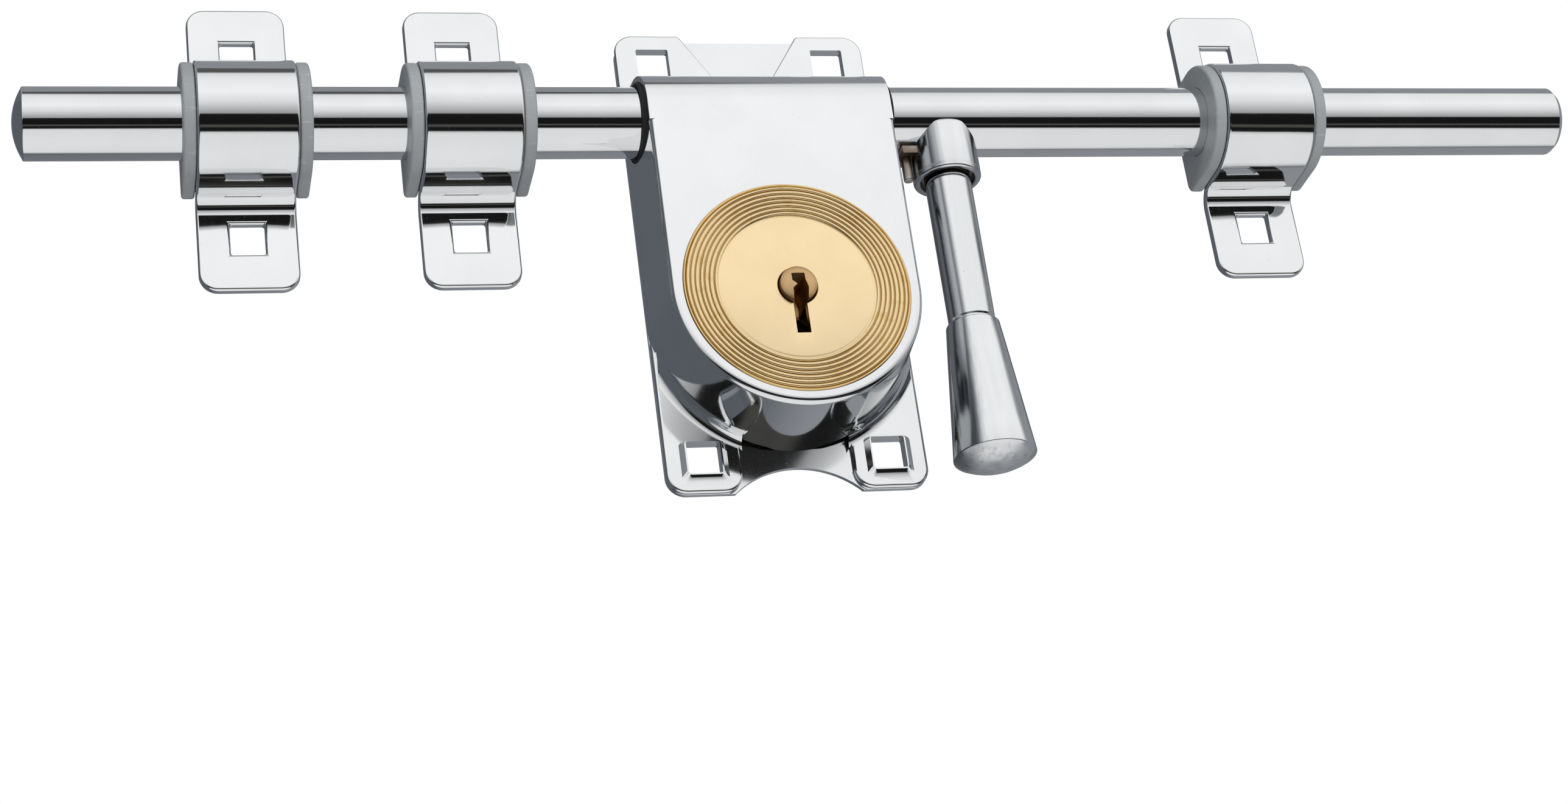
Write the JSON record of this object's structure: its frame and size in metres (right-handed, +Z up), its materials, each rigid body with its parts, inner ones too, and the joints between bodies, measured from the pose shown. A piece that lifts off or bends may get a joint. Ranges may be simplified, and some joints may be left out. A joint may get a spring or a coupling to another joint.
{
  "type": "rod lock",
  "caption": "Door rod lock: a chromed round rod with a side handle slides through a key-operated case and strap guides.",
  "frame": {"origin": "on the door's face, straight behind the rod's axis, in the middle of the lock case", "axes": "+X along the rod to the handle's side, +Y into the door, +Z up; the front faces -Y"},
  "size_m": [0.316, 0.0225, 0.108],
  "materials": {
    "chrome_plate": "bright chrome plate",
    "chrome_case": "bright chrome plate on drawn steel",
    "chrome_rod": "polished chrome plate on round bar",
    "chrome_strap": "bright chrome plate on bent strip",
    "steel_handle": "turned and satin plated",
    "brass_face": "turned and lacquered",
    "brass_barrel": "dull turned brass",
    "brass_work": "stamped, unpolished",
    "steel_work": "turned, oiled",
    "bronze_catch": "dull, brown in its corners",
    "grey_nylon": "moulded, satin",
    "black_liner": "moulded, matt"
  },
  "bodies": {
    "case": {"back_plate": "chrome_plate", "case_shell": "chrome_case", "brass_face": "brass_face", "bolt_guide_pins": "steel_work", "lever_post": "steel_work", "guide_strap_left": "chrome_strap", "guide_strap_middle": "chrome_strap", "guide_strap_right": "chrome_strap", "guide_bush_left": "grey_nylon", "guide_bush_middle": "grey_nylon", "guide_bush_right": "grey_nylon"},
    "liners": {"case_liner_left": "black_liner", "case_liner_right": "black_liner"},
    "rod": {"rod": "chrome_rod", "handle_boss": "steel_handle", "handle_stem": "steel_handle", "handle_grip": "steel_handle", "catch_tab": "bronze_catch", "catch_pin": "bronze_catch"},
    "key_barrel": {"key_barrel": "brass_barrel"},
    "bolt": {"bolt": "brass_work"},
    "lever_1": {"lever_1": "brass_work", "spring_1": "brass_work"},
    "lever_2": {"lever_2": "brass_work", "spring_2": "brass_work"},
    "lever_3": {"lever_3": "brass_work", "spring_3": "brass_work"}
  },
  "joints": [
    {"name": "rod_turn", "type": "hinge", "parent": "case", "child": "liners", "pos_m": [0, -0.0105, 0], "axis": [-1, 0, 0], "range_deg": [0, 180]},
    {"name": "rod_slide", "type": "slide", "parent": "liners", "child": "rod", "axis": [1, 0, 0], "range_m": [0, 0.04]},
    {"name": "bolt_throw", "type": "slide", "parent": "case", "child": "bolt", "axis": [0, 0, 1], "range_m": [0, 0.0024]},
    {"name": "key_turn", "type": "hinge", "parent": "case", "child": "key_barrel", "pos_m": [0, -0.0105, -0.0416], "axis": [0, -1, 0], "range_deg": [0, 90]},
    {"name": "lever_1_lift", "type": "hinge", "parent": "case", "child": "lever_1", "pos_m": [-0.015, -0.0105, -0.024], "axis": [0, -1, 0], "range_deg": [0, 5]},
    {"name": "lever_2_lift", "type": "hinge", "parent": "case", "child": "lever_2", "pos_m": [-0.015, -0.0105, -0.024], "axis": [0, -1, 0], "range_deg": [0, 4]},
    {"name": "lever_3_lift", "type": "hinge", "parent": "case", "child": "lever_3", "pos_m": [-0.015, -0.0105, -0.024], "axis": [0, -1, 0], "range_deg": [0, 3]}
  ],
  "couplings": [
    {"joint": "key_turn", "follows": "bolt_throw", "rad_per_m": 654.49},
    {"joint": "lever_1_lift", "follows": "bolt_throw", "rad_per_m": 36.36},
    {"joint": "lever_2_lift", "follows": "bolt_throw", "rad_per_m": 29.08},
    {"joint": "lever_3_lift", "follows": "bolt_throw", "rad_per_m": 21.81}
  ]
}
